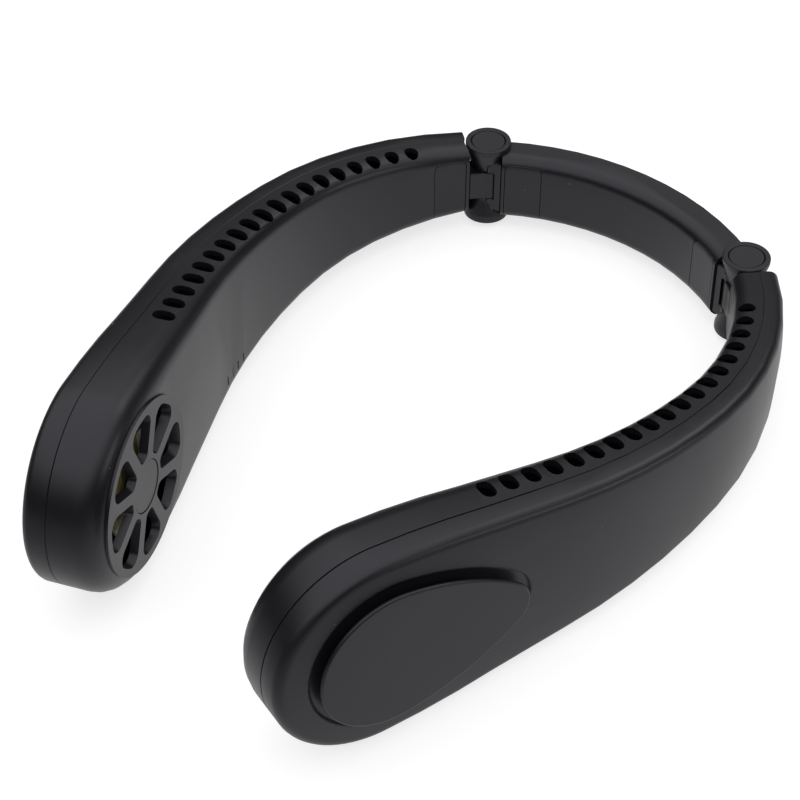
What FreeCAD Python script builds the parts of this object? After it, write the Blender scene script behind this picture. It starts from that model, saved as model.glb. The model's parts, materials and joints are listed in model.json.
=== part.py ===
import FreeCAD, Part
import math
import os

# Electric neck fan: two hollow arms hinged to a back section, with a blower in the head of each arm.
# Millimetres and degrees. The fan is drawn level, about the plane through the middle of its height,
# and is tilted at the end so that it stands on its two heads and its back, as it does on a table.
# Pieces of an arm are drawn for the right side, at +X, and mirrored for the left.
# Places on an arm are (s, u, w): s along its middle line from the hinge axis, u outward, w up.

V = FreeCAD.Vector
UP = V(0, 0, 1)

# Plan of an arm
hinge_spacing = 96.0
hinge_heading = 45.2
bend_radius = 94.0
side_radius = 170.0
head_heading = 19.8
head_run = 58.5
arm_lift = 1.2

# Section of an arm, at the hinge and at the head
root_half_height = 12.4
head_radius = 31.5
root_inner_depth = 5.6
head_inner_depth = 12.5
root_outer_depth = 8.6
head_outer_depth = 11.0
root_corner = 4.5
head_corner = 8.0
crease_depth = 2.6
crease_rise = 3.0
root_crown = 0.5
head_crown = 0.9
seam_depth = 2.4
wall = 1.8
seam_gap = 0.2
arm_stations = 16
edge_flats = 5
crown_flats = 3
# Places along the arm, with how much of the growth from hinge to head each one has
growth_shares = [(0.04, 0.0), (0.14, 0.095), (0.29, 0.23), (0.47, 0.41),
                 (0.65, 0.615), (0.80, 0.80), (0.91, 0.95), (1.0, 1.0)]

# Fits
running_fit = 0.05
slip_fit = 0.15
seat_gap = 0.1
rest_steps = 60
overrun = 2.0
sink = 0.5

# Hinge
barrel_radius = 7.2
barrel_half_height = 13.9
ear_flange = 1.6
ear_taper = 6.5
ear_neck_radius = 5.2
shield_start = 2.0
cheek_half_height = 9.0
cheek_inner = 7.2
cheek_outer = 4.6
slot_half_height = 5.0
slot_radius = 6.5
knuckle_radius = 5.9
knuckle_flat = 0.3
hinge_gap = 0.5
pin_radius = 1.6
cap_radius = 5.3
cap_thickness = 1.2
cap_inset = 0.15
plug_length = 16.0
web_length = 18.0

# Screw covers beside the hinges
cover_thickness = 1.0
cover_top = 9.4
cover_corner_radius = 2.0
arm_cover_start = 1.6
arm_cover_length = 10.4
back_cover_start = 6.8
back_cover_length = 11.6

# Air slots along the arm
vent_count = 19
vent_pitch = 7.0
first_vent = 26.5
vent_width = 4.4
vent_length = 6.8
vent_margin = 1.2
vent_flats = 5

# Petal grille on the inner face of the head
petal_count = 8
petal_inner_radius = 10.1
petal_outer_radius = 22.3
petal_rib = 5.4
petal_corner = 3.4
petal_bevel = 0.9
corner_limit_share = 0.8
grille_radius = 25.7
grille_rise = 0.5
hub_disc_radius = 7.7
hub_disc_thickness = 1.0
hub_disc_inset = 0.15

# Cover plate and the intake under it
plate_radius = 22.2
plate_tip_radius = 8.8
plate_side_radius = 70.0
plate_front = 2.0
plate_back = 34.0
plate_gap = 1.2
plate_thickness = 1.1
plate_bevel = 0.4
recess_depth = 1.5
recess_margin = 2.4
recess_slope = 0.9
peg_radius = 1.8
peg_circle_radius = 15.6
peg_count = 3
intake_inner_radius = 6.0
intake_outer_radius = 12.4
intake_rib = 3.0

# Motor and blower, along the fan axis
boss_radius = 5.6
boss_rise = 2.0
board_radius = 15.2
board_thickness = 1.0
board_notch = 5.0
motor_radius = 10.0
motor_height = 7.4
motor_hub_radius = 3.0
motor_hub = 1.2
shaft_radius = 1.0
shaft_reach = 4.0
cup_clearance = 0.9
cup_wall = 1.0
cup_gap = 0.6
blade_root_radius = 15.4
blade_count = 12
blade_thickness = 0.9
blade_lean = 24.0
blade_length = 5.2
blade_clearance = 2.4

# Back section
back_sagitta = 15.5
back_half_height = 11.7
back_lift = 0.3
back_inner_depth = 7.8
back_outer_depth = 5.0
back_seam_depth = 1.5
back_corner = 4.0
back_edge_depth = 2.5
back_edge_rise = 6.0
back_end = 5.0
back_stations = 12

# Battery
cell_length = 25.0
cell_height = 15.0
cell_thickness = 6.6
cell_edge = 1.6
cell_gap = 0.6
pack_board_length = 7.0
pack_board_height = 15.0
pack_board_thickness = 1.2

# Controls in the left arm
slit_count = 4
slit_pitch = 4.1
slit_width = 0.7
slit_length = 3.2
slit_middle = 120.0
slit_drop = 16.2
guide_rim = 1.2
guide_thickness = 1.0
control_length = 22.0
control_height = 20.0
control_gap = 4.7
control_thickness = 1.0
control_out = 3.5
button_ahead = 8.0
button_radius = 2.0
button_rise = 0.4
button_flange = 0.6
button_flange_thickness = 0.8
button_stem_radius = 0.9
button_stem = 1.0
button_travel = 0.6
switch_width = 4.4
switch_height = 3.0
plunger_radius = 1.0
plunger_length = 0.7
port_behind = 6.5
port_width = 8.9
port_height = 3.2
port_depth = 7.2
port_wall = 0.35
port_tongue = 0.7
port_inset = 0.6
port_round_share = 0.46

# Lengths that follow from the plan
bend_length = bend_radius * math.radians(hinge_heading)
side_length = side_radius * math.radians(head_heading)
arm_length = bend_length + side_length + head_run
arm_end = barrel_radius - slip_fit
back_radius = ((hinge_spacing / 2) ** 2 + back_sagitta ** 2) / (2 * back_sagitta)
back_centre = V(0, back_sagitta - back_radius, 0)
hinge_angle = math.degrees(math.asin(hinge_spacing / 2 / back_radius))
QUARTER_WEIGHT = math.sqrt(0.5)


def plan(s):
    """Point and heading of the arm's middle line in plan, heading from -Y towards +X."""
    start = math.radians(hinge_heading)
    heading = start - min(s, bend_length) / bend_radius
    x = hinge_spacing / 2 + bend_radius * (math.cos(heading) - math.cos(start))
    y = bend_radius * (math.sin(heading) - math.sin(start))
    if s > bend_length:
        heading = -min(s - bend_length, side_length) / side_radius
        x -= side_radius * (1 - math.cos(heading))
        y += side_radius * math.sin(heading)
    run = max(s - bend_length - side_length, 0)
    return x + run * math.sin(heading), y - run * math.cos(heading), heading


def outward(s):
    heading = plan(s)[2]
    return V(math.cos(heading), math.sin(heading), 0)


def forward(s):
    heading = plan(s)[2]
    return V(math.sin(heading), -math.cos(heading), 0)


def spot(s, u=0, w=0):
    x, y, heading = plan(s)
    return V(x, y, w + arm_lift) + outward(s) * u


def near(s, f, u, w):
    """A place given from station s, straight forward by f."""
    return spot(s, u, w) + forward(s) * f


def growth(s):
    """Share of the growth from hinge to head that the arm has at s: a smooth curve through the table."""
    share = min(max(s / arm_length, growth_shares[0][0]), growth_shares[-1][0])
    last = len(growth_shares) - 2
    k = max(i for i in range(last + 1) if growth_shares[i][0] <= share)
    (x0, y0), (x1, y1) = growth_shares[k:k + 2]
    t = (share - x0) / (x1 - x0)
    rise0 = growth_slope(k) * (x1 - x0)
    rise1 = growth_slope(k + 1) * (x1 - x0)
    eased = t * t * (3 - 2 * t)
    return y0 + (y1 - y0) * eased + rise0 * t * (1 - t) ** 2 - rise1 * t * t * (1 - t)


def growth_slope(k):
    x0, y0 = growth_shares[max(k - 1, 0)]
    x1, y1 = growth_shares[min(k + 1, len(growth_shares) - 1)]
    return (y1 - y0) / (x1 - x0)


def between(s, root, head):
    return root + (head - root) * growth(s)


def half_height(s):
    return between(s, root_half_height, head_radius)


def inner_face(s):
    return -between(s, root_inner_depth, head_inner_depth)


def outer_face(s):
    return between(s, root_outer_depth, head_outer_depth)


def line(a, b):
    return Part.LineSegment(a, b).toShape()


def arc(a, middle, b):
    return Part.Arc(a, middle, b).toShape()


def rod(radius, start, end):
    return Part.makeCylinder(radius, (end - start).Length, start, (end - start).normalize())


def solid_of(edges, sweep):
    return Part.Face(Part.Wire(edges)).extrude(sweep)


def edge_point(half, face, depth, rise, side):
    """The rounded edge of a section: an arc tangent to the face, that meets the side wall at its depth.

    The place it returns is a function of the share of the arc and the skin. The arc is a quarter circle
    where depth and rise are the same.
    """
    radius = (rise ** 2 + depth ** 2) / (2 * depth)
    sweep = math.atan2(rise, radius - depth)

    def place(share, skin):
        angle = share * sweep
        reach = radius - skin
        return face - side * (radius - reach * math.cos(angle)), half - rise + reach * math.sin(angle)
    return place


def half_section(half, seam, face, depth, rise, crown, skin):
    """Places of the upper half of a shell's section: outside from the seam to the face, then inside back.

    A rounded edge is drawn with a few flats, and its hidden side with two, which keeps the faces light.
    A crowned face stands out to its middle by the crown.
    """
    side = math.copysign(1, face - seam)
    edge = face - side * crown
    place = edge_point(half, edge, depth, rise, side)
    outside = [(seam, half)] + [place(1 - k / edge_flats, 0) for k in range(edge_flats + 1)]
    if crown:
        shares = [1 - k / crown_flats for k in range(1, crown_flats + 1)]
        outside += [(face + (edge - face) * share ** 2, (half - rise) * share) for share in shares]
    inside = [place(0, skin), place(1 / 2, skin), (edge - side * depth, half - skin), (seam, half - skin)]
    return outside, inside


def flip(places):
    return [(u, -w) for u, w in reversed(places)]


def tray_wire(put, *sizes):
    """Section of a shell: a tray open at the seam, with rounded edges."""
    outside, inside = half_section(*sizes)
    return Part.Wire(chain(put, outside + flip(outside) + flip(inside) + inside + outside[:1]))


def half_tray_wire(put, *sizes):
    """Upper half of the same section, closed along the middle, to be turned about the fan axis."""
    outside, inside = half_section(*sizes)
    across = [(outside[-1][0], 0), (inside[0][0], 0)]
    return Part.Wire(chain(put, outside + across + inside + outside[:1]))


def chain(put, places):
    return [line(put(*a), put(*b)) for a, b in zip(places, places[1:]) if a != b]


def inner_section(s, skin):
    edge = root_corner + (head_corner - root_corner) * growth(s) ** 2
    return half_height(s), seam_depth - seam_gap / 2, inner_face(s), edge, edge, 0, skin


def outer_section(s, skin):
    crown = between(s, root_crown, head_crown)
    return half_height(s), seam_depth + seam_gap / 2, outer_face(s), crease_depth, crease_rise, crown, skin


def arm_tray(section, skin):
    """A shell of the arm: lofted along the middle line, with a round end turned about the fan axis."""
    wires = []
    for k in range(arm_stations + 1):
        s = arm_end + (arm_length - arm_end) * k / arm_stations
        wires.append(tray_wire(lambda u, w: spot(s, u, w), *section(s, skin)))
    body = Part.makeLoft(wires, True, True)
    half = half_tray_wire(lambda u, w: spot(arm_length, u, w), *section(arm_length, skin))
    end = Part.Face(half).revolve(spot(arm_length), outward(arm_length), 180)
    return body.fuse(end).removeSplitter()


def fan_place(f, u, w):
    return near(arm_length, f, u, w)


def fan_disc(radius, u0, u1):
    return rod(radius, fan_place(0, u0, 0), fan_place(0, u1, 0))


def fan_ring(outer, inner, u0, u1):
    return fan_disc(outer, u0, u1).cut(fan_disc(inner, u0 - overrun, u1 + overrun))


def fan_turn(shape, angle):
    turned = shape.copy()
    turned.rotate(fan_place(0, 0, 0), outward(arm_length), angle)
    return turned


def petal_wire(u, count, inner, outer, rib, radius):
    """A rounded opening between two radii and two ribs of even width, pointing forward."""
    def polar(r, angle):
        return fan_place(r * math.cos(angle), u, r * math.sin(angle))

    def rounded(before, tip, after):
        centre = before + after - tip
        edges.append(arc(before, tip + (centre - tip) * (1 - QUARTER_WEIGHT), after))
    side = math.pi / count
    out_angle = side - math.asin(rib / 2 / outer)
    in_angle = side - math.asin(rib / 2 / inner)
    tight = min(radius, corner_limit_share * in_angle * inner)
    out_trim = out_angle - radius / outer
    in_trim = in_angle - tight / inner
    far_tips = [polar(outer, turn * out_angle) for turn in (1, -1)]
    near_tips = [polar(inner, turn * in_angle) for turn in (1, -1)]
    along = [(near_tips[k] - far_tips[k]).normalize() for k in (0, 1)]
    far_ends = [far_tips[k] + along[k] * radius for k in (0, 1)]
    near_ends = [near_tips[k] - along[k] * tight for k in (0, 1)]
    edges = [arc(polar(outer, -out_trim), polar(outer, 0), polar(outer, out_trim))]
    rounded(polar(outer, out_trim), far_tips[0], far_ends[0])
    edges.append(line(far_ends[0], near_ends[0]))
    rounded(near_ends[0], near_tips[0], polar(inner, in_trim))
    edges.append(arc(polar(inner, in_trim), polar(inner, 0), polar(inner, -in_trim)))
    rounded(polar(inner, -in_trim), near_tips[1], near_ends[1])
    edges.append(line(near_ends[1], far_ends[1]))
    rounded(far_ends[1], far_tips[1], polar(outer, -out_trim))
    return Part.Wire(edges)


def petal_cutters(face, depth):
    """The grille's openings, which narrow from the face inward."""
    mouth = petal_wire(face, petal_count, petal_inner_radius - petal_bevel, petal_outer_radius + petal_bevel,
                       petal_rib - 2 * petal_bevel, petal_corner + petal_bevel)
    throat = petal_wire(face + depth, petal_count, petal_inner_radius, petal_outer_radius,
                        petal_rib, petal_corner)
    opening = Part.makeLoft([mouth, throat], True, True)
    return [fan_turn(opening, k * 360 / petal_count) for k in range(petal_count)]


def vent_cutter(s):
    """An upright slot through the top of the arm, its round ends drawn with a few flats."""
    radius = vent_width / 2
    inner = max(-vent_length, inner_face(s) + vent_margin) + radius
    points = []
    for end, turn in ((-radius, 0), (inner, math.pi)):
        for k in range(vent_flats + 1):
            angle = turn + math.pi * (k / vent_flats - 1 / 2)
            points.append(near(s, radius * math.sin(angle), end + radius * math.cos(angle), 0))
    return Part.Face(Part.makePolygon(points + points[:1])).extrude(UP * (half_height(s) + overrun))


def rounded_block(centre, along, across, length, height, depth, radius):
    """A block with rounded corners: length along, height up, pushed through by depth across."""
    block = Part.makeBox(length, height, depth, V(-length / 2, -height / 2, -depth / 2))
    block = block.makeFillet(radius, upright_edges(block))
    turn = FreeCAD.Rotation(along, UP, across, "XYZ")
    block.Placement = FreeCAD.Placement(centre, turn)
    return block


def arm_cover_block(grow):
    """Outline of a screw cover, which wraps round the lower edge of the arm."""
    middle = arm_end + arm_cover_start + arm_cover_length / 2
    low = half_height(middle) + overrun
    high = cover_top + grow
    centre = spot(middle, inner_face(middle), (high - low) / 2)
    return rounded_block(centre, forward(middle), outward(middle), arm_cover_length + 2 * grow,
                         low + high, root_inner_depth, cover_corner_radius + grow)


def fan_inside(u=0):
    """Distance u in from the inside of the grille wall, along the fan axis."""
    return inner_face(arm_length) + wall + u


def arm_inner_shell(controls):
    face = inner_face(arm_length)
    shell = arm_tray(inner_section, wall)
    boss = fan_disc(boss_radius, fan_inside(-sink), fan_inside(boss_rise))
    shell = shell.multiFuse([fan_disc(grille_radius, face - grille_rise, face + sink), boss])
    cutters = petal_cutters(face - grille_rise, wall + grille_rise + sink)
    cutters += [vent_cutter(first_vent + k * vent_pitch) for k in range(vent_count)]
    recess = face - grille_rise + hub_disc_thickness + hub_disc_inset
    cutters.append(fan_disc(hub_disc_radius + slip_fit, face - grille_rise - overrun, recess))
    cutters.append(fan_disc(motor_hub_radius + running_fit, fan_inside(), fan_inside(boss_rise + overrun)))
    cutters.append(arm_tray(inner_section, cover_thickness + seat_gap).common(arm_cover_block(slip_fit)))
    cutters.append(hinge_scoop())
    if controls:
        cutters += [slit_block(s, 0, -overrun, wall + overrun) for s in slit_places()]
        cutters.append(button_rod(button_radius + slip_fit, -overrun, wall + overrun))
        room = flange_foot() + button_flange_thickness + button_travel + overrun
        cutters.append(button_rod(button_radius + button_flange + slip_fit, flange_foot() - seat_gap, room))
        cutters.append(port_block(slip_fit, -overrun, port_depth))
    return shell.cut(cutters)


def hinge_rod(radius, reach):
    """A rod on the hinge axis, as far up as down."""
    axis = V(hinge_spacing / 2, 0, 0)
    return rod(radius, axis - UP * reach, axis + UP * reach)


def hinge_scoop():
    """Room for the round ears in the end of an arm."""
    return hinge_rod(barrel_radius + hinge_gap, barrel_half_height + overrun)


def hinge_slot():
    """Room for the tongue between the ears."""
    return hinge_rod(slot_radius, slot_half_height)


def hinge_post(grow):
    """Both ears as one post: flanges that taper to a narrower neck, and a full round on the outer side."""
    wide = barrel_radius + grow
    narrow = ear_neck_radius + grow
    flange_foot_height = barrel_half_height - ear_flange
    neck_top = flange_foot_height - ear_taper
    outline = [(wide, barrel_half_height), (wide, flange_foot_height), (narrow, neck_top)]
    outline = [(0, barrel_half_height)] + outline + [(r, -w) for r, w in reversed(outline)]
    outline += [(0, -barrel_half_height), (0, barrel_half_height)]
    section = Part.Face(Part.Wire(chain(lambda r, w: V(hinge_spacing / 2 + r, 0, w), outline)))
    post = section.revolve(V(hinge_spacing / 2, 0, 0), UP, 360)
    reach = barrel_half_height + overrun
    inner_side = Part.makeBox(4 * wide, 2 * wide, 2 * reach, V(-2 * wide, shield_start - 2 * wide, -reach))
    inner_side.Placement = FreeCAD.Placement(V(hinge_spacing / 2, 0, 0), arm_rotation(0))
    shield = hinge_rod(slot_radius - slip_fit + grow, barrel_half_height)
    return post.fuse(shield.cut(inner_side))


def hinge_cheek():
    """Joins the ears to the end of the back section."""
    far = slip_fit - back_end * (1 - back_inner_depth / back_radius)
    corners = [(0, -ear_neck_radius), (far, -cheek_inner), (far, cheek_outer), (0, ear_neck_radius)]
    places = [V(x, back_sagitta + u, -cheek_half_height) for x, u in corners]
    cheek = Part.Face(Part.makePolygon(places + places[:1])).extrude(UP * (2 * cheek_half_height))
    return back_turn(cheek, hinge_angle)


def arm_outer_shell():
    face = outer_face(arm_length)
    shell = arm_tray(outer_section, wall)
    cutters = [fan_turn(intake_slot(face), k * 360 / petal_count) for k in range(petal_count)]
    cutters += [peg(peg_radius + running_fit, k, overrun) for k in range(peg_count)]
    cutters += [hinge_scoop(), plate_recess(face)]
    return shell.cut(cutters)


def plate_recess(face):
    """Shallow hollow that follows the cover plate, with a sloping edge."""
    floor = plate_edges(face - recess_depth, recess_margin - recess_slope)
    mouth = plate_edges(face + recess_depth, recess_margin + recess_slope)
    return Part.makeLoft([Part.Wire(floor), Part.Wire(mouth)], True, True)


def intake_slot(face):
    """One opening of the intake under the cover plate, between two ribs of even width."""
    turn = math.pi / petal_count
    points = []
    for radius, side in ((intake_inner_radius, 1), (intake_outer_radius, 1), (intake_outer_radius, -1),
                         (intake_inner_radius, -1)):
        half = radius * math.tan(turn) - intake_rib / 2 / math.cos(turn)
        points.append(fan_place(radius, face + overrun, side * half))
    depth = head_crown + wall + 2 * overrun
    return Part.Face(Part.makePolygon(points + points[:1])).extrude(outward(arm_length) * -depth)


def peg(radius, k, extra):
    """One of the pegs that carry the cover plate, through the outer shell."""
    angle = math.radians((k + 1 / 2) * 360 / peg_count)
    f = peg_circle_radius * math.cos(angle)
    w = peg_circle_radius * math.sin(angle)
    face = outer_face(arm_length)
    foot = face - head_crown - wall - extra
    return rod(radius, fan_place(f, foot, w), fan_place(f, face + plate_gap + sink, w))


def plate_edges(u, grow):
    """Egg shaped outline: a round front, a small round back and two long side arcs tangent to both."""
    span = plate_back - plate_front
    to_front = plate_side_radius - plate_radius
    to_back = plate_side_radius - plate_tip_radius
    ahead = (to_back ** 2 - to_front ** 2 - span ** 2) / (2 * span)
    below = math.sqrt(to_front ** 2 - ahead ** 2)
    front_lean = math.atan2(below, -ahead)
    back_lean = math.atan2(below, -ahead - span)
    middle_lean = (front_lean + back_lean) / 2

    def polar(centre_f, centre_w, r, angle):
        return fan_place(centre_f + r * math.cos(angle), u, centre_w + r * math.sin(angle))

    def front(angle):
        return polar(-plate_front, 0, plate_radius + grow, angle)

    def back(angle):
        return polar(-plate_back, 0, plate_tip_radius + grow, angle)

    upper_side = polar(ahead - plate_front, -below, plate_side_radius + grow, middle_lean)
    lower_side = polar(ahead - plate_front, below, plate_side_radius + grow, -middle_lean)
    return [
        arc(front(-front_lean), front(0), front(front_lean)),
        arc(front(front_lean), upper_side, back(back_lean)),
        arc(back(back_lean), back(math.pi), back(-back_lean)),
        arc(back(-back_lean), lower_side, front(-front_lean)),
    ]


def cover_plate():
    inside = outer_face(arm_length) + plate_gap
    plate = solid_of(plate_edges(inside, 0), outward(arm_length) * plate_thickness)
    middle = fan_place(0, inside + plate_thickness / 2, 0)
    rim = [e for e in plate.Edges if all((v.Point - middle).dot(outward(arm_length)) > 0 for v in e.Vertexes)]
    plate = plate.makeChamfer(plate_bevel, rim)
    return plate.multiFuse([peg(peg_radius, k, 0) for k in range(peg_count)])


def hub_disc():
    outside = inner_face(arm_length) - grille_rise + hub_disc_inset
    return fan_disc(hub_disc_radius, outside, outside + hub_disc_thickness)


def arm_screw_cover():
    return arm_tray(inner_section, cover_thickness).common(arm_cover_block(0))


def hinge_tongue():
    """Middle knuckle of the hinge, with a plug that fills the end of the arm."""
    axis = V(hinge_spacing / 2, 0, 0)
    half = slot_half_height - slip_fit
    inner = -(root_inner_depth - wall - slip_fit)
    outer = seam_depth - slip_fit
    knuckle = hinge_rod(knuckle_radius, half)
    flat = knuckle_radius - knuckle_flat
    heel = math.sqrt(knuckle_radius ** 2 - flat ** 2)
    toe = (bend_radius - flat) * math.sin(arm_end / bend_radius) - slip_fit
    block = Part.makeBox(heel + toe, outer + flat, 2 * half, V(-heel, -flat, -half))
    plug_start = arm_end + hinge_gap
    neck = Part.makeBox(plug_start + sink, outer - inner, 2 * half, V(0, inner, -half))
    for shape in (block, neck):
        shape.Placement = FreeCAD.Placement(axis, arm_rotation(0))
    tall = root_half_height - root_corner - slip_fit
    corners = [(inner, -tall), (outer, -tall), (outer, tall), (inner, tall), (inner, -tall)]
    profile = Part.Face(Part.Wire(chain(lambda u, w: spot(plug_start, u, w), corners)))
    bend_centre = spot(0) - outward(0) * bend_radius
    plug = profile.revolve(bend_centre, UP, -math.degrees(plug_length / bend_radius))
    return knuckle.multiFuse([block, neck, plug]).cut(hinge_bore())


def hinge_bore():
    return hinge_rod(pin_radius + running_fit, barrel_half_height + overrun)


def back_point(u, w):
    """A place on the middle section of the back, in the plane x = 0."""
    return V(0, back_sagitta + u, w + back_lift)


def back_turn(shape, angle):
    """Turn a shape about the middle of the back's curve, towards +X."""
    turned = shape.copy()
    turned.rotate(back_centre, UP, -angle)
    return turned


def back_section(inside, skin):
    if inside:
        seam = back_seam_depth - seam_gap / 2
        return back_half_height, seam, -back_inner_depth, back_corner, back_corner, 0, skin
    seam = back_seam_depth + seam_gap / 2
    return back_half_height, seam, back_outer_depth, back_edge_depth, back_edge_rise, 0, skin


def back_tray(inside, skin):
    """A shell of the back section: its tray section lofted round from hinge to hinge."""
    section = tray_wire(back_point, *back_section(inside, skin))
    start = hinge_angle - math.degrees(back_end / back_radius)
    wires = [back_turn(section, start * (1 - 2 * k / back_stations)) for k in range(back_stations + 1)]
    return Part.makeLoft(wires, True, True)


def back_end_cuts():
    cuts = [hinge_post(slip_fit), hinge_slot()]
    return cuts + [mirrored(cut) for cut in cuts]


def back_cover_angle():
    return hinge_angle - math.degrees((back_cover_start + back_cover_length / 2) / back_radius)


def back_cover_block(grow):
    low = back_half_height + overrun
    high = cover_top + grow
    centre = back_point(-back_inner_depth, (high - low) / 2)
    block = rounded_block(centre, V(1, 0, 0), V(0, -1, 0), back_cover_length + 2 * grow,
                          low + high, back_inner_depth, cover_corner_radius + grow)
    return back_turn(block, back_cover_angle())


def back_inner_shell():
    skin = back_tray(True, cover_thickness + seat_gap)
    pocket = skin.common(back_cover_block(slip_fit))
    cutters = back_end_cuts() + [pocket, mirrored(pocket)]
    return back_tray(True, wall).cut(cutters)


def back_outer_shell():
    return back_tray(False, wall).cut(back_end_cuts())


def back_screw_cover():
    return back_tray(True, cover_thickness).common(back_cover_block(0))


def clevis():
    """Two round ears with a slot between them, on a web that sits in the end of the back section."""
    axis = V(hinge_spacing / 2, 0, 0)
    tall = back_half_height - back_corner - slip_fit
    inner = -(back_inner_depth - wall - slip_fit)
    outer = back_seam_depth
    corners = [(inner, -tall), (outer, -tall), (outer, tall), (inner, tall), (inner, -tall)]
    profile = back_turn(Part.Face(Part.Wire(chain(back_point, corners))), hinge_angle)
    web = profile.revolve(back_centre, UP, math.degrees(web_length / back_radius))
    cutters = [hinge_slot(), hinge_bore()]
    for side in (-1, 1):
        outside = axis + UP * (side * barrel_half_height)
        floor = outside - UP * (side * (cap_thickness + cap_inset))
        cutters.append(rod(cap_radius + slip_fit, floor, outside + UP * (side * overrun)))
    return hinge_post(0).multiFuse([web, hinge_cheek()]).cut(cutters)


def hinge_pin():
    return hinge_rod(pin_radius, barrel_half_height - cap_thickness - cap_inset - seat_gap)


def hinge_caps():
    axis = V(hinge_spacing / 2, 0, 0)
    caps = []
    for side in (-1, 1):
        outside = axis + UP * (side * (barrel_half_height - cap_inset))
        caps.append(rod(cap_radius, outside - UP * (side * cap_thickness), outside))
    return Part.makeCompound(caps)


def motor_board():
    """Round board on the boss of the grille, with a flat for the lead."""
    hole = motor_hub_radius + running_fit
    board = fan_ring(board_radius, hole, fan_inside(boss_rise), board_top() - seat_gap)
    notch = Part.makeBox(board_notch, 2 * board_radius, 2 * board_radius,
                         V(-board_radius - board_notch / 2, -board_radius, -board_radius))
    notch.Placement = FreeCAD.Placement(fan_place(0, 0, 0), arm_rotation(arm_length))
    return board.cut(notch)


def board_top():
    return fan_inside(boss_rise + board_thickness)


def motor_top():
    return board_top() + motor_height


def motor_body():
    """Closed motor can on the board, with a bearing hub above and below."""
    can = fan_disc(motor_radius, board_top(), motor_top())
    foot = fan_disc(motor_hub_radius, fan_inside(seat_gap), board_top() + sink)
    hub = fan_disc(motor_hub_radius, motor_top() - sink, motor_top() + motor_hub)
    bore = fan_disc(shaft_radius + running_fit, board_top(), motor_top() + motor_hub + overrun)
    return can.multiFuse([foot, hub]).cut(bore)


def cup_floor():
    """Inside of the impeller's cup, just over the motor's upper hub."""
    return motor_top() + motor_hub + cup_gap


def rotor_shaft():
    return fan_disc(shaft_radius, board_top() + seat_gap, cup_floor() + shaft_reach)


def blade(u0, u1):
    """A straight blade that leans back from its root circle."""
    slab = Part.makeBox(blade_length, u1 - u0, blade_thickness, V(0, u0, -blade_thickness / 2))
    slab.Placement = FreeCAD.Placement(fan_place(blade_root_radius, 0, 0), arm_rotation(arm_length))
    slab.rotate(fan_place(blade_root_radius, 0, 0), outward(arm_length), blade_lean)
    return slab


def impeller():
    """Blower wheel: a cup over the motor, pressed on the shaft, and a web with blades on both sides."""
    top = outer_face(arm_length) - head_crown - wall - blade_clearance
    low = board_top() + blade_clearance / 2
    floor = cup_floor()
    inner = motor_radius + cup_clearance
    cup = fan_ring(inner + cup_wall, inner, floor - motor_height / 2, floor + cup_wall)
    web = fan_disc(blade_root_radius + blade_thickness, floor, floor + cup_wall)
    nose = fan_disc(motor_hub_radius, floor, floor + shaft_reach + cup_wall)
    bore = fan_disc(shaft_radius + running_fit, floor - sink, floor + shaft_reach + seat_gap)
    blades = [fan_turn(blade(low, top), k * 360 / blade_count) for k in range(blade_count)]
    return web.multiFuse([cup, nose] + blades).cut(bore)


def battery_cell():
    """Flat cell on the inside wall of the back section, between the pack board and a clevis."""
    block = Part.makeBox(cell_length, cell_thickness, cell_height, V(-cell_length / 2, 0, -cell_height / 2))
    block = block.makeFillet(cell_edge, upright_edges(block))
    block.translate(back_point(back_floor(), 0))
    return back_turn(block, math.degrees((pack_board_length / 2 + cell_gap + cell_length / 2) / back_radius))


def back_floor():
    """Height of a piece that lies on the inside wall of the back section."""
    return wall + seat_gap - back_inner_depth


def upright_edges(block):
    return [e for e in block.Edges if abs(e.tangentAt(e.FirstParameter).z) > QUARTER_WEIGHT]


def pack_board():
    low = V(-pack_board_length / 2, 0, -pack_board_height / 2)
    block = Part.makeBox(pack_board_length, pack_board_thickness, pack_board_height, low)
    block.translate(back_point(back_floor(), 0))
    return block


def slit_places():
    first = slit_middle - slit_pitch * (slit_count - 1) / 2
    return [first + k * slit_pitch for k in range(slit_count)]


def slit_block(s, grow, u0, u1):
    """An upright slit through the inner wall at s."""
    half = slit_width / 2 + grow
    low = -slit_drop - slit_length / 2 - grow
    block = Part.makeBox(2 * half, u1 - u0, slit_length + 2 * grow, V(-half, u0, low))
    block.Placement = FreeCAD.Placement(spot(s, inner_face(s)), arm_rotation(s))
    return block


def light_guide():
    """Clear bar behind the wall with a tooth in each slit."""
    s = slit_middle
    length = slit_pitch * (slit_count - 1) + 2 * guide_rim
    height = slit_length + 2 * guide_rim
    inside = wall + guide_rim
    bar = Part.makeBox(length, guide_thickness, height, V(-length / 2, inside, -slit_drop - height / 2))
    bar.Placement = FreeCAD.Placement(spot(s, inner_face(s)), arm_rotation(s))
    far = inside + guide_thickness / 2
    return bar.multiFuse([slit_block(place, -running_fit, seat_gap, far) for place in slit_places()])


def arm_rotation(s):
    return FreeCAD.Rotation(forward(s), outward(s), UP, "XYZ")


def board_depth():
    """How far the control board's far side lies from the inner face, past the bar of the light guide."""
    return wall + guide_rim + guide_thickness + seat_gap + control_thickness


def control_board():
    """Upright board on the back of the light guide, which carries the switch and the charge port."""
    s = slit_middle
    place = V(-control_length / 2, board_depth() - control_thickness, lower_wall(0) + control_gap)
    block = Part.makeBox(control_length, control_thickness, control_height, place)
    block.Placement = FreeCAD.Placement(spot(s, inner_face(s)), arm_rotation(s))
    return block


def board_side(f, out, w):
    """A place beside the control board: f forward of the slits, out from its far side, at height w."""
    return near(slit_middle, f, inner_face(slit_middle) + board_depth() + out, w)


def lower_wall(f):
    return -half_height(slit_middle + f)


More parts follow.
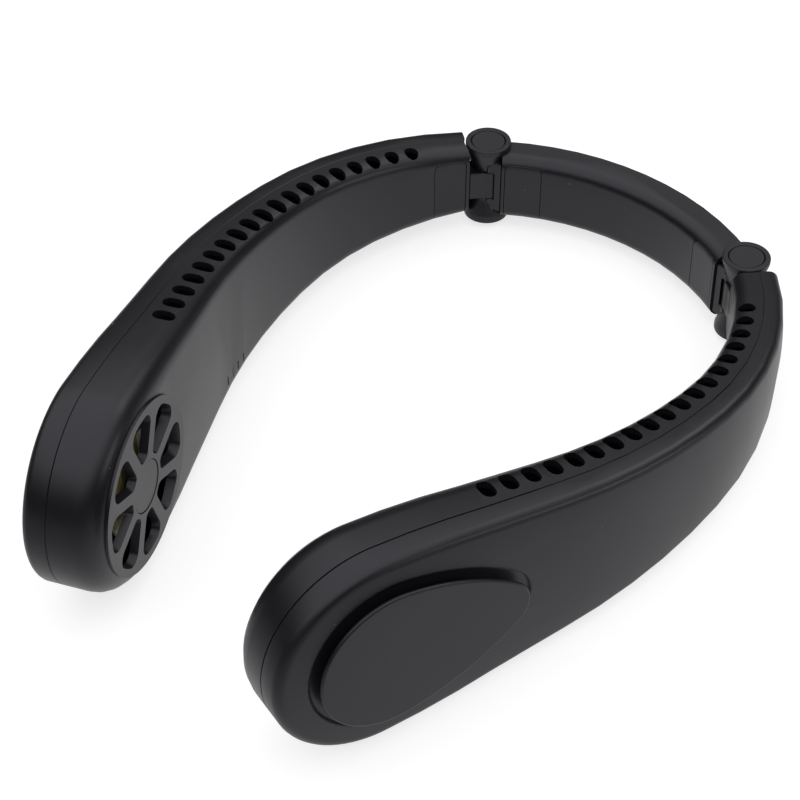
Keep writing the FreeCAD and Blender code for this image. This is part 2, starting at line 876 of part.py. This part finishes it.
def button_rod(radius, low, high):
    """A rod on the button's axis, its ends measured from the outside of the lower wall."""
    floor = board_side(button_ahead, control_out, lower_wall(button_ahead))
    return rod(radius, floor + UP * low, floor + UP * high)


def flange_foot():
    """Height of the button's flange over the lower wall, which rises across it."""
    reach = button_radius + button_flange
    return wall + seat_gap + lower_wall(button_ahead - reach) - lower_wall(button_ahead)


def power_button():
    """Round cap in the lower wall, with a flange inside and a stem to the switch."""
    foot = flange_foot()
    top = foot + button_flange_thickness
    cap = button_rod(button_radius, -button_rise, top)
    flange = button_rod(button_radius + button_flange, foot, top)
    stem = button_rod(button_stem_radius, foot, top + button_stem)
    return cap.multiFuse([flange, stem])


def push_switch():
    """Switch on the control board, over the button's stem."""
    plunger = flange_foot() + button_flange_thickness + button_stem + button_travel + seat_gap
    floor = lower_wall(button_ahead)
    depth = control_out + switch_width / 2 - seat_gap
    body = Part.makeBox(switch_width, depth, switch_height, V(-switch_width / 2, seat_gap, 0))
    foot = board_side(button_ahead, 0, floor + plunger + plunger_length)
    body.Placement = FreeCAD.Placement(foot, arm_rotation(slit_middle))
    return body.fuse(button_rod(plunger_radius, plunger, plunger + plunger_length + sink))


def port_block(grow, low, high):
    """Outline of the charge port grown all round, its ends measured from the outside of the lower wall."""
    width = port_width + 2 * grow
    height = port_height + 2 * grow
    block = Part.makeBox(width, height, high - low, V(-width / 2, -height / 2, low))
    block = block.makeFillet(height * port_round_share, upright_edges(block))
    block.Placement = FreeCAD.Placement(port_place(), arm_rotation(slit_middle))
    return block


def port_place():
    return board_side(-port_behind, control_out, lower_wall(-port_behind))


def charge_port():
    """Oval metal socket with a contact tongue, open downward."""
    socket = port_block(0, port_inset, port_depth).cut(port_block(-port_wall, 0, port_depth - port_wall))
    width = port_width - port_height
    low = V(-width / 2, -port_tongue / 2, 2 * port_inset)
    tongue = Part.makeBox(width, port_tongue, port_depth - 2 * port_inset, low)
    tongue.Placement = FreeCAD.Placement(port_place(), arm_rotation(slit_middle))
    return socket.fuse(tongue)


def mirrored(shape):
    return shape.mirror(V(0, 0, 0), V(1, 0, 0))


def rest_slope():
    """Angle of the table under the level fan: it touches the ears and the arms near their heads."""
    slopes = []
    for k in range(rest_steps + 1):
        s = arm_length * k / rest_steps
        drop = half_height(s) - arm_lift - barrel_half_height
        slopes.append(math.atan2(drop, barrel_radius - plan(s)[1]))
    return math.degrees(max(slopes))


def back_pieces():
    return {
        "back_inner_shell": back_inner_shell(),
        "back_outer_shell": back_outer_shell(),
        "pack_board": pack_board(),
    }


def paired_pieces():
    """Pieces that both sides have, drawn for the right."""
    return {
        "battery_cell": battery_cell(),
        "clevis": clevis(),
        "back_screw_cover": back_screw_cover(),
        "hinge_pin": hinge_pin(),
        "hinge_caps": hinge_caps(),
        "hinge_tongue": hinge_tongue(),
        "arm_outer_shell": arm_outer_shell(),
        "arm_screw_cover": arm_screw_cover(),
        "cover_plate": cover_plate(),
        "hub_disc": hub_disc(),
        "motor_board": motor_board(),
        "motor_body": motor_body(),
        "rotor_shaft": rotor_shaft(),
        "impeller": impeller(),
    }


def left_pieces():
    """Pieces of the left arm alone, drawn for the right."""
    return {
        "left_arm_inner_shell": arm_inner_shell(True),
        "light_guide": light_guide(),
        "control_board": control_board(),
        "power_button": power_button(),
        "push_switch": push_switch(),
        "charge_port": charge_port(),
    }


def level_pieces():
    pieces = back_pieces()
    for name, shape in paired_pieces().items():
        pieces["right_" + name] = shape
        pieces["left_" + name] = mirrored(shape)
    pieces["right_arm_inner_shell"] = arm_inner_shell(False)
    for name, shape in left_pieces().items():
        pieces[name] = mirrored(shape)
    return pieces


def stand(pieces):
    """Tilt the level pieces onto the table and put the origin under the middle of their overall box."""
    slope = rest_slope()
    box = FreeCAD.BoundBox()
    for shape in pieces.values():
        shape.rotate(V(0, 0, 0), V(1, 0, 0), -slope)
        box.add(shape.optimalBoundingBox(False, False))
    shift = V(0, -(box.YMin + box.YMax) / 2, -box.ZMin)
    for shape in pieces.values():
        shape.translate(shift)
    print("overall", box.XLength, box.YLength, box.ZLength)
    return FreeCAD.Placement(shift, FreeCAD.Rotation(V(1, 0, 0), -slope))


def main():
    os.makedirs("parts", exist_ok=True)
    pieces = level_pieces()
    table = stand(pieces)
    for name, shape in pieces.items():
        shape.exportStep("parts/" + name + ".step")
        print(name, shape.isValid(), len(shape.Solids), round(shape.Volume))
    print("tilt", table.Rotation.toEuler(), "shift", table.Base)
    print("hinge axis", table.Rotation.multVec(UP), "right hinge", table.multVec(V(hinge_spacing / 2, 0, 0)))
    print("right fan axis", table.Rotation.multVec(outward(arm_length)))
    print("right fan place", table.multVec(fan_place(0, 0, 0)))
    print("port, drawn for the right", table.multVec(port_place() + UP * port_inset))


main()
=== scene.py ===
import bmesh
import bpy
import json
import math
from mathutils import Matrix, Vector
from mathutils.bvhtree import BVHTree

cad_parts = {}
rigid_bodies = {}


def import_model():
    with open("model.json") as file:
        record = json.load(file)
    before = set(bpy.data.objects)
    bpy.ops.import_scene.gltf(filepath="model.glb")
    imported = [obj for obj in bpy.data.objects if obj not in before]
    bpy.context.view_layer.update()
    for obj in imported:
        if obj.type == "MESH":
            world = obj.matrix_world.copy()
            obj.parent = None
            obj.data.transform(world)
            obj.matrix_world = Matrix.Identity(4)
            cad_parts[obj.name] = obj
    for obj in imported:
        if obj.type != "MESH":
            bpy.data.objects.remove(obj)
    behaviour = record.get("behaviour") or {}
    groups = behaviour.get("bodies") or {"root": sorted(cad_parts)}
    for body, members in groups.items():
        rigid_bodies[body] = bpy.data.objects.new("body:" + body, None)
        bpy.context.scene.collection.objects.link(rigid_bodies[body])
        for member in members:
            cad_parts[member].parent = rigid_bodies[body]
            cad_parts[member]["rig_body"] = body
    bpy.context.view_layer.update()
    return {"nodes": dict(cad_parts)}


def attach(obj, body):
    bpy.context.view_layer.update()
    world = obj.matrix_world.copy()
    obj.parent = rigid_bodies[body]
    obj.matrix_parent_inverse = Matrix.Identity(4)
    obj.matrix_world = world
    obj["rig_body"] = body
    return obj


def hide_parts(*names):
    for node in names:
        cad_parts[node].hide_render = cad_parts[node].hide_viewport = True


# Looks of the electric neck fan. Every piece stands where its CAD node does: its mesh is a copy of the
# node's, welded and smoothed over its curves, and gets a finish. Pieces with a width of their own below
# get broken edges, and the outer shells are carried on into their seams.
# Metres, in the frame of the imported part.

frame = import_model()

SIDES = ("left", "right")

# Camera: the photograph's place and lens, on a picture 800 wide
CAMERA_PLACE = (0.29498, -0.34699, 0.48415)
CAMERA_AZIMUTH = 41.238
CAMERA_ELEVATION = 45.567
CAMERA_ROLL = -4.267
CAMERA_LENS = 101.48
CAMERA_RANGE = (0.01, 20.0)
SENSOR_WIDTH = 36.0

# Sky of the studio: its brightness by height, and the white backdrop that the camera sees
HORIZON_TOP = 0.3
CEILING_EDGE = 0.75
HORIZON_LIGHT = 0.01
CEILING_LIGHT = 1.4
BACKDROP_LIGHT = 1.1
STUDIO_COLOR = (0.98, 0.985, 1.0, 1.0)

# Light panels: place, width and height, power
LIGHT_TARGET = (0.0, 0.0, 0.03)
PANELS = {
    "right_softbox": ((1.3, 0.5, 0.25), (0.9, 0.3), 2.2),
    "rear_softbox": ((0.29, 0.94, 0.7), (0.5, 0.35), 1.0),
}

# Floor: pale paper on a light table, whose glow fades between two distances from the middle.
# The swung heads sink a little, so it lies just below their hollow insides.
FLOOR_DROP = 0.001
PAPER_COLOR = (0.4, 0.4, 0.4, 1.0)
PAPER_ROUGHNESS = 0.9
PAPER_SHINE = 0.1
TABLE_COLOR = (1.0, 1.0, 1.0, 1.0)
TABLE_SEEN = 0.72
TABLE_GLOW = 0.5
TABLE_BRIGHT = 0.08
TABLE_DIM = 0.23
TABLE_REACH = 0.6

# How the meshes are finished
WELD_DISTANCE = 2e-6
FLAT_ANGLE = math.radians(0.2)
SMOOTH_ANGLE = math.radians(32.0)
BEVEL_ANGLE = math.radians(38.0)
BEVEL_SEGMENTS = 2

# Shells that meet their partner along a seam, and how far the seam is closed
SEAM_PARTNERS = {
    "left_arm_outer_shell": "left_arm_inner_shell",
    "right_arm_outer_shell": "right_arm_inner_shell",
    "back_outer_shell": "back_inner_shell",
}
SEAM_REACH = 0.00035
SEAM_CLOSED = 0.00018

# Pieces whose crowned faces are shaded as one curve, with no flats
SOFT_PIECES = ("arm_inner_shell", "arm_outer_shell", "back_inner_shell", "back_outer_shell")

# Width of the broken edge of each piece
EDGE_WIDTHS = {
    "arm_outer_shell": 0.00025,
    "back_outer_shell": 0.0002,
    "cover_plate": 0.0002,
    "clevis": 0.0003,
    "hinge_caps": 0.0002,
    "hinge_tongue": 0.0003,
    "arm_screw_cover": 0.00015,
    "back_screw_cover": 0.00015,
    "hub_disc": 0.0002,
    "power_button": 0.0002,
}

# Finish of each piece, by its name without its side
FINISHES = {
    "arm_inner_shell": "shell",
    "arm_outer_shell": "shell",
    "back_inner_shell": "shell",
    "back_outer_shell": "shell",
    "cover_plate": "plate",
    "clevis": "hinge",
    "hinge_tongue": "hinge",
    "hinge_caps": "cap",
    "arm_screw_cover": "cover",
    "back_screw_cover": "cover",
    "hub_disc": "disc",
    "power_button": "button",
    "impeller": "impeller",
    "motor_body": "can",
    "rotor_shaft": "pin",
    "hinge_pin": "pin",
    "motor_board": "board",
    "control_board": "board",
    "pack_board": "board",
    "battery_cell": "cell",
    "light_guide": "guide",
    "push_switch": "switch",
    "charge_port": "socket",
}

# Handled surfaces: cloudiness, rare specks of dust and polish, with scales per metre
CLOUD_SCALE = 34.0
CLOUD_EDGES = (0.35, 0.75)
CLOUD_SHARE = 0.12
CLOUD_COLOR = (0.03, 0.03, 0.032, 1.0)
SPECK_SCALE = 190.0
SPECK_EDGES = (0.03, 0.045)
SPECK_PATCH_SCALE = 61.0
SPECK_PATCH_EDGES = (0.56, 0.6)
DUST_COLOR = (0.42, 0.41, 0.4, 1.0)
POLISH_SCALE = 19.0
POLISH_EDGES = (0.3, 0.7)

# Moulded grain, the gloss of the plastic and how deep the grain is cut
BROAD_GRAIN_SCALE = 160.0
BROAD_GRAIN_SHARE = 0.4
PLASTIC_SHINE = 0.42
COOL_TINT = (0.93, 0.93, 1.0, 1.0)
PLASTIC_GRAIN_DEPTH = 0.0002
METAL_GRAIN_DEPTH = 0.0001
METAL_DUST = 0.1

# Circuit boards
TRACK_SCALE = 260.0
TRACK_GAP = 0.06
LACQUER_COLORS = ((0.13, 0.115, 0.035, 1.0), (0.17, 0.15, 0.05, 1.0))
TRACK_COLOR = (0.3, 0.26, 0.1, 1.0)
TRACK_STRENGTH = 0.15
TRACK_DEPTH = 0.0001
PAD_SCALE = 330.0
PAD_EDGES = (0.16, 0.2)
PAD_PATCH_SCALE = 120.0
PAD_PATCH_EDGES = (0.5, 0.52)
PAD_COLOR = (0.55, 0.55, 0.52, 1.0)
LACQUER_ROUGHNESS = 0.42
PAD_ROUGHNESS = 0.28

# Light guide
GUIDE_COLOR = (0.02, 0.02, 0.022, 1.0)
GUIDE_DUST = 0.05
GUIDE_ROUGHNESS = (0.12, 0.2)
GUIDE_COAT = 0.4

# Moulded finishes: name, colour, roughness where polished and where dull, dust, grain scale, grain strength
MOULDINGS = {
    "shell": ("charcoal_shell", (0.0080, 0.0078, 0.0096), 0.3, 0.38, 0.5, 2600.0, 0.06),
    "plate": ("charcoal_plate", (0.0070, 0.0070, 0.0080), 0.3, 0.38, 0.6, 2600.0, 0.06),
    "hinge": ("charcoal_hinge", (0.0080, 0.0080, 0.0090), 0.3, 0.38, 0.3, 3000.0, 0.05),
    "cap": ("charcoal_cap", (0.0090, 0.0090, 0.0100), 0.3, 0.38, 0.3, 3000.0, 0.05),
    "cover": ("charcoal_cover", (0.0080, 0.0080, 0.0090), 0.3, 0.38, 0.3, 3000.0, 0.05),
    "disc": ("charcoal_disc", (0.0070, 0.0070, 0.0080), 0.3, 0.38, 0.3, 3000.0, 0.05),
    "button": ("charcoal_button", (0.03, 0.03, 0.032), 0.36, 0.44, 0.2, 3000.0, 0.05),
    "impeller": ("black_impeller", (0.012, 0.012, 0.013), 0.4, 0.5, 0.3, 2200.0, 0.05),
    "switch": ("black_switch", (0.015, 0.015, 0.015), 0.45, 0.55, 0.1, 3000.0, 0.05),
}

# Metal finishes: name, colour, roughness where polished and where dull, grain scale, grain strength
METALS = {
    "can": ("motor_can", (0.42, 0.42, 0.43), 0.32, 0.4, 1800.0, 0.04),
    "pin": ("ground_steel", (0.55, 0.55, 0.56), 0.22, 0.3, 2400.0, 0.03),
    "cell": ("cell_foil", (0.5, 0.52, 0.55), 0.3, 0.42, 900.0, 0.08),
    "socket": ("socket_shell", (0.6, 0.6, 0.6), 0.2, 0.28, 2400.0, 0.03),
}


def plain_name(node):
    """A node's name without its side."""
    for side in SIDES:
        if node.startswith(side + "_"):
            return node[len(side) + 1:]
    return node


def new_group(name, inputs, outputs):
    group = bpy.data.node_groups.new(name, "ShaderNodeTree")
    for label, kind, value in inputs:
        socket = group.interface.new_socket(label, in_out="INPUT", socket_type=kind)
        socket.default_value = value
    for label, kind in outputs:
        group.interface.new_socket(label, in_out="OUTPUT", socket_type=kind)
    return group, group.nodes.new("NodeGroupInput"), group.nodes.new("NodeGroupOutput")


def noise(tree, place, scale, detail, roughness=0.5):
    node = tree.nodes.new("ShaderNodeTexNoise")
    node.inputs["Detail"].default_value = detail
    node.inputs["Roughness"].default_value = roughness
    tree.links.new(place, node.inputs["Vector"])
    if isinstance(scale, (int, float)):
        node.inputs["Scale"].default_value = scale
    else:
        tree.links.new(scale, node.inputs["Scale"])
    return node.outputs["Fac"]


def sums(tree, operation, a, b):
    node = tree.nodes.new("ShaderNodeMath")
    node.operation = operation
    for k, value in enumerate((a, b)):
        if isinstance(value, (int, float)):
            node.inputs[k].default_value = value
        else:
            tree.links.new(value, node.inputs[k])
    return node.outputs[0]


def ranged(tree, value, low, high, out_low, out_high):
    node = tree.nodes.new("ShaderNodeMapRange")
    for label, number in (("From Min", low), ("From Max", high), ("To Min", out_low), ("To Max", out_high)):
        if isinstance(number, (int, float)):
            node.inputs[label].default_value = number
        else:
            tree.links.new(number, node.inputs[label])
    tree.links.new(value, node.inputs["Value"])
    return node.outputs["Result"]


def mixed(tree, share, a, b):
    node = tree.nodes.new("ShaderNodeMix")
    node.data_type = "RGBA"
    tree.links.new(share, node.inputs["Factor"])
    for label, value in (("A", a), ("B", b)):
        socket = [s for s in node.inputs if s.name == label and s.type == "RGBA"][0]
        if isinstance(value, tuple):
            socket.default_value = value
        else:
            tree.links.new(value, socket)
    return [s for s in node.outputs if s.type == "RGBA"][0]


def place_of(tree):
    return tree.nodes.new("ShaderNodeTexCoord").outputs["Object"]


def make_moulded_grain():
    """Fine spark-eroded texture of a moulded surface, as a height."""
    group, inside, outside = new_group(
        "moulded_grain", [("Grain Scale", "NodeSocketFloat", 2600.0)], [("Height", "NodeSocketFloat")])
    place = place_of(group)
    fine = noise(group, place, inside.outputs["Grain Scale"], 2.0, 0.6)
    broad = sums(group, "MULTIPLY", noise(group, place, BROAD_GRAIN_SCALE, 3.0), BROAD_GRAIN_SHARE)
    group.links.new(sums(group, "ADD", fine, broad), outside.inputs["Height"])
    return group


def make_handling():
    """Colour and gloss of a handled surface: faint cloudiness, polish from fingers and sparse dust."""
    group, inside, outside = new_group(
        "handling",
        [("Color", "NodeSocketColor", (0.03, 0.03, 0.03, 1.0)), ("Dust", "NodeSocketFloat", 0.3),
         ("Roughness Low", "NodeSocketFloat", 0.4), ("Roughness High", "NodeSocketFloat", 0.5)],
        [("Color", "NodeSocketColor"), ("Roughness", "NodeSocketFloat")])
    place = place_of(group)
    cloud = ranged(group, noise(group, place, CLOUD_SCALE, 4.0), *CLOUD_EDGES, 0.0, CLOUD_SHARE)
    lighter = mixed(group, cloud, inside.outputs["Color"], CLOUD_COLOR)
    cells = group.nodes.new("ShaderNodeTexVoronoi")
    cells.inputs["Scale"].default_value = SPECK_SCALE
    group.links.new(place, cells.inputs["Vector"])
    speck = ranged(group, cells.outputs["Distance"], *SPECK_EDGES, 1.0, 0.0)
    rare = ranged(group, noise(group, place, SPECK_PATCH_SCALE, 1.0), *SPECK_PATCH_EDGES, 0.0, 1.0)
    dust = sums(group, "MULTIPLY", sums(group, "MULTIPLY", speck, rare), inside.outputs["Dust"])
    group.links.new(mixed(group, dust, lighter, DUST_COLOR), outside.inputs["Color"])
    polish = noise(group, place, POLISH_SCALE, 3.0)
    low, high = inside.outputs["Roughness Low"], inside.outputs["Roughness High"]
    rough = ranged(group, polish, *POLISH_EDGES, low, high)
    group.links.new(rough, outside.inputs["Roughness"])
    return group


def new_material(name):
    material = bpy.data.materials.new(name)
    material.use_nodes = True
    return material, material.node_tree, material.node_tree.nodes["Principled BSDF"]


def grouped(tree, group, **values):
    node = tree.nodes.new("ShaderNodeGroup")
    node.node_tree = group
    for label, value in values.items():
        node.inputs[label.replace("_", " ")].default_value = value
    return node


def bumped(tree, shader, height, strength, distance):
    bump = tree.nodes.new("ShaderNodeBump")
    bump.inputs["Strength"].default_value = strength
    bump.inputs["Distance"].default_value = distance
    tree.links.new(height, bump.inputs["Height"])
    tree.links.new(bump.outputs["Normal"], shader.inputs["Normal"])


def moulding(name, color, low, high, dust, grain, strength):
    """A satin moulded plastic."""
    material, tree, shader = new_material(name)
    handled = grouped(tree, handling, Color=(*color, 1.0), Dust=dust, Roughness_Low=low, Roughness_High=high)
    tree.links.new(handled.outputs["Color"], shader.inputs["Base Color"])
    tree.links.new(handled.outputs["Roughness"], shader.inputs["Roughness"])
    textured = grouped(tree, moulded_grain, Grain_Scale=grain)
    bumped(tree, shader, textured.outputs["Height"], strength, PLASTIC_GRAIN_DEPTH)
    shader.inputs["Specular IOR Level"].default_value = PLASTIC_SHINE
    shader.inputs["Specular Tint"].default_value = COOL_TINT
    return material


def metal(name, color, low, high, grain, strength):
    """A plain metal with a fine ground or rolled surface."""
    material, tree, shader = new_material(name)
    handled = grouped(
        tree, handling, Color=(*color, 1.0), Dust=METAL_DUST, Roughness_Low=low, Roughness_High=high)
    tree.links.new(handled.outputs["Color"], shader.inputs["Base Color"])
    tree.links.new(handled.outputs["Roughness"], shader.inputs["Roughness"])
    shader.inputs["Metallic"].default_value = 1.0
    textured = grouped(tree, moulded_grain, Grain_Scale=grain)
    bumped(tree, shader, textured.outputs["Height"], strength, METAL_GRAIN_DEPTH)
    return material


def laminate(name):
    """Circuit board: olive lacquer over copper tracks, with bare pads."""
    material, tree, shader = new_material(name)
    place = place_of(tree)
    tracks = tree.nodes.new("ShaderNodeTexBrick")
    tracks.inputs["Scale"].default_value = TRACK_SCALE
    tracks.inputs["Mortar Size"].default_value = TRACK_GAP
    for label, color in zip(("Color1", "Color2"), LACQUER_COLORS):
        tracks.inputs[label].default_value = color
    tracks.inputs["Mortar"].default_value = TRACK_COLOR
    tree.links.new(place, tracks.inputs["Vector"])
    pads = tree.nodes.new("ShaderNodeTexVoronoi")
    pads.inputs["Scale"].default_value = PAD_SCALE
    tree.links.new(place, pads.inputs["Vector"])
    pad = ranged(tree, pads.outputs["Distance"], *PAD_EDGES, 1.0, 0.0)
    rare = ranged(tree, noise(tree, place, PAD_PATCH_SCALE, 0.0), *PAD_PATCH_EDGES, 0.0, 1.0)
    bare = sums(tree, "MULTIPLY", pad, rare)
    color = mixed(tree, bare, tracks.outputs["Color"], PAD_COLOR)
    tree.links.new(color, shader.inputs["Base Color"])
    roughness = ranged(tree, bare, 0.0, 1.0, LACQUER_ROUGHNESS, PAD_ROUGHNESS)
    tree.links.new(roughness, shader.inputs["Roughness"])
    bumped(tree, shader, tracks.outputs["Fac"], TRACK_STRENGTH, TRACK_DEPTH)
    return material


def smoked(name):
    """Tinted clear plastic of the light guide."""
    material, tree, shader = new_material(name)
    low, high = GUIDE_ROUGHNESS
    handled = grouped(
        tree, handling, Color=GUIDE_COLOR, Dust=GUIDE_DUST, Roughness_Low=low, Roughness_High=high)
    tree.links.new(handled.outputs["Color"], shader.inputs["Base Color"])
    tree.links.new(handled.outputs["Roughness"], shader.inputs["Roughness"])
    shader.inputs["Coat Weight"].default_value = GUIDE_COAT
    return material


def close_seam(work, partner):
    """Carry the seam faces of a shell on towards its partner, so that no light shows through the seam."""
    other = bmesh.new()
    other.from_mesh(frame["nodes"][partner].data)
    tree = BVHTree.FromBMesh(other)
    shifts = {}
    for face in work.faces:
        normal = tree.ray_cast(face.calc_center_median(), face.normal, SEAM_REACH)[1]
        if normal is not None and normal.dot(face.normal) < 0:
            for vert in face.verts:
                shifts.setdefault(vert, []).append(face.normal)
    other.free()
    for vert, normals in shifts.items():
        way = sum(normals, Vector()).normalized()
        vert.co += way * SEAM_CLOSED


def finished(node):
    """A finished copy of a CAD piece, which rides on the same body and stands for it."""
    source = frame["nodes"][node]
    kind = plain_name(node)
    mesh = bpy.data.meshes.new(node + "_finished")
    work = bmesh.new()
    work.from_mesh(source.data)
    bmesh.ops.remove_doubles(work, verts=work.verts, dist=WELD_DISTANCE)
    bmesh.ops.dissolve_limit(work, angle_limit=FLAT_ANGLE, verts=work.verts, edges=work.edges)
    if node in SEAM_PARTNERS:
        close_seam(work, SEAM_PARTNERS[node])
    places = [v.co.copy() for v in work.verts]
    work.verts.index_update()
    faces = [[v.index for v in face.verts] for face in work.faces]
    work.free()
    mesh.from_pydata(places, [], faces)
    mesh.shade_smooth()
    mesh.set_sharp_from_angle(angle=SMOOTH_ANGLE)
    piece = bpy.data.objects.new(node + "_finished", mesh)
    bpy.context.scene.collection.objects.link(piece)
    mesh.materials.append(materials[FINISHES[kind]])
    if kind in EDGE_WIDTHS:
        bevel = piece.modifiers.new("broken_edges", "BEVEL")
        bevel.width = EDGE_WIDTHS[kind]
        bevel.segments = BEVEL_SEGMENTS
        bevel.limit_method = "ANGLE"
        bevel.angle_limit = BEVEL_ANGLE
        bevel.use_clamp_overlap = False
    if kind not in SOFT_PIECES:
        weighted = piece.modifiers.new("flat_faces", "WEIGHTED_NORMAL")
        weighted.keep_sharp = True
    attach(piece, source["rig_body"])
    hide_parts(node)


def studio_light(name, place, size, power):
    data = bpy.data.lights.new(name, "AREA")
    data.shape = "RECTANGLE"
    data.size, data.size_y = size
    data.energy = power
    light = bpy.data.objects.new(name, data)
    light.location = place
    light.rotation_euler = (Vector(LIGHT_TARGET) - Vector(place)).to_track_quat("-Z", "Y").to_euler()
    bpy.context.scene.collection.objects.link(light)


def floor_plane():
    mesh = bpy.data.meshes.new("floor")
    corners = [(x * TABLE_REACH, y * TABLE_REACH, 0.0) for x, y in ((-1, -1), (1, -1), (1, 1), (-1, 1))]
    mesh.from_pydata(corners, [], [range(len(corners))])
    floor = bpy.data.objects.new("floor", mesh)
    floor.location.z = -FLOOR_DROP
    bpy.context.scene.collection.objects.link(floor)
    material, tree, shader = new_material("floor_paper")
    shader.inputs["Base Color"].default_value = PAPER_COLOR
    shader.inputs["Roughness"].default_value = PAPER_ROUGHNESS
    shader.inputs["Specular IOR Level"].default_value = PAPER_SHINE
    shader.inputs["Emission Color"].default_value = TABLE_COLOR
    away = tree.nodes.new("ShaderNodeVectorMath")
    away.operation = "LENGTH"
    tree.links.new(place_of(tree), away.inputs[0])
    glow = ranged(tree, away.outputs["Value"], TABLE_BRIGHT, TABLE_DIM, TABLE_GLOW, 0.0)
    glow.node.interpolation_type = "SMOOTHSTEP"
    seen = tree.nodes.new("ShaderNodeLightPath").outputs["Is Camera Ray"]
    strength = ranged(tree, seen, 0.0, 1.0, glow, TABLE_SEEN)
    tree.links.new(strength, shader.inputs["Emission Strength"])
    mesh.materials.append(material)


def place_camera():
    data = bpy.data.cameras.new("camera")
    data.lens = CAMERA_LENS
    data.sensor_width = SENSOR_WIDTH
    data.clip_start, data.clip_end = CAMERA_RANGE
    camera = bpy.data.objects.new("camera", data)
    azimuth, elevation, roll = (math.radians(a) for a in (CAMERA_AZIMUTH, CAMERA_ELEVATION, CAMERA_ROLL))
    back = Vector((math.sin(azimuth) * math.cos(elevation), -math.cos(azimuth) * math.cos(elevation),
                   math.sin(elevation)))
    level = Vector((math.cos(azimuth), math.sin(azimuth), 0.0))
    upright = back.cross(level)
    right = level * math.cos(roll) + upright * math.sin(roll)
    up = upright * math.cos(roll) - level * math.sin(roll)
    turn = Matrix((right, up, back)).transposed().to_4x4()
    camera.matrix_world = Matrix.Translation(CAMERA_PLACE) @ turn
    bpy.context.scene.collection.objects.link(camera)
    bpy.context.scene.camera = camera


def light_studio():
    """A bright ceiling over a dark horizon, a low panel on the right and a high one behind."""
    world = bpy.data.worlds.new("studio")
    bpy.context.scene.world = world
    world.use_nodes = True
    tree = world.node_tree
    way = tree.nodes.new("ShaderNodeSeparateXYZ")
    tree.links.new(tree.nodes.new("ShaderNodeTexCoord").outputs["Generated"], way.inputs["Vector"])
    height = way.outputs["Z"]
    strength = ranged(tree, height, HORIZON_TOP, CEILING_EDGE, HORIZON_LIGHT, CEILING_LIGHT)
    strength.node.interpolation_type = "SMOOTHSTEP"
    seen = tree.nodes.new("ShaderNodeLightPath").outputs["Is Camera Ray"]
    backdrop = sums(tree, "MULTIPLY", seen, BACKDROP_LIGHT)
    tree.links.new(sums(tree, "MAXIMUM", strength, backdrop), tree.nodes["Background"].inputs["Strength"])
    tree.nodes["Background"].inputs["Color"].default_value = STUDIO_COLOR
    for name, values in PANELS.items():
        studio_light(name, *values)
    bpy.context.scene.view_settings.view_transform = "Standard"


moulded_grain = make_moulded_grain()
handling = make_handling()
materials = {finish: moulding(*values) for finish, values in MOULDINGS.items()}
materials.update({finish: metal(*values) for finish, values in METALS.items()})
materials["board"] = laminate("olive_board")
materials["guide"] = smoked("smoked_guide")

for node in sorted(frame["nodes"]):
    finished(node)

floor_plane()
light_studio()
place_camera()
